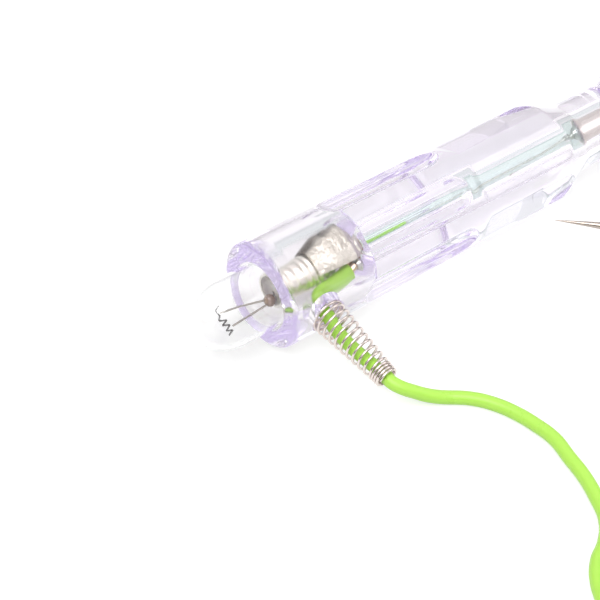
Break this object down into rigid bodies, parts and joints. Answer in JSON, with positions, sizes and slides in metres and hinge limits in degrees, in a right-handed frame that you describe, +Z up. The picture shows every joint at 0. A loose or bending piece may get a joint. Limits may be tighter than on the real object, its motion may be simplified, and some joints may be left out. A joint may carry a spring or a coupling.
{
  "type": "test light",
  "caption": "Automotive test light: clear fluted handle with a small lamp in its open end, pointed steel probe, and a yellow-green lead through a coil spring, ending in a needle probe.",
  "frame": {"origin": "on the handle's axis, where the probe shaft leaves the nose", "axes": "+X along the handle towards the point of the probe; -Y towards the side where the lead leaves; +Z up from the surface that it lies on"},
  "size_m": [0.1535, 0.1033, 0.0164],
  "materials": {
    "clear_plastic": "clear, polished, faint lavender",
    "steel": "ground steel",
    "solder": "soft bright solder",
    "lamp_glass": "clear, blown",
    "bead_glass": "brown fused bead",
    "support_wire": "drawn wire",
    "filament": "dull coiled wire",
    "nickel": "nickel plated",
    "cement": "dry basing cement",
    "tinned_wire": "tinned copper, soft",
    "black_glass": "fused insulator",
    "bracket_metal": "nickel plated brass, satin",
    "fibre": "pressed fibre",
    "rivet_brass": "plain",
    "green_pvc": "soft, slightly glossy",
    "copper": "tinned copper strands",
    "spring_steel": "nickel plated wire"
  },
  "bodies": {
    "root": {"handle": "clear_plastic", "probe_shaft": "steel", "probe_solder": "solder", "lamp_glass": "lamp_glass", "lamp_bead": "bead_glass", "support_wire_upper": "support_wire", "support_wire_lower": "support_wire", "filament": "filament", "lamp_cap": "nickel", "cap_cement": "cement", "cap_insulator": "black_glass", "cap_contact": "solder", "lamp_bracket": "bracket_metal", "inner_washer": "fibre", "outer_washer": "fibre", "contact_rivet": "rivet_brass", "link_solder": "solder", "link_insulation": "green_pvc", "link_wire": "tinned_wire", "lead_inner": "green_pvc", "lead_strands": "copper", "lead_solder": "solder", "strain_spring": "spring_steel", "lead": "green_pvc", "lead_coil": "green_pvc", "lead_tail": "green_pvc", "needle_grip": "green_pvc", "needle": "steel"}
  },
  "joints": []
}
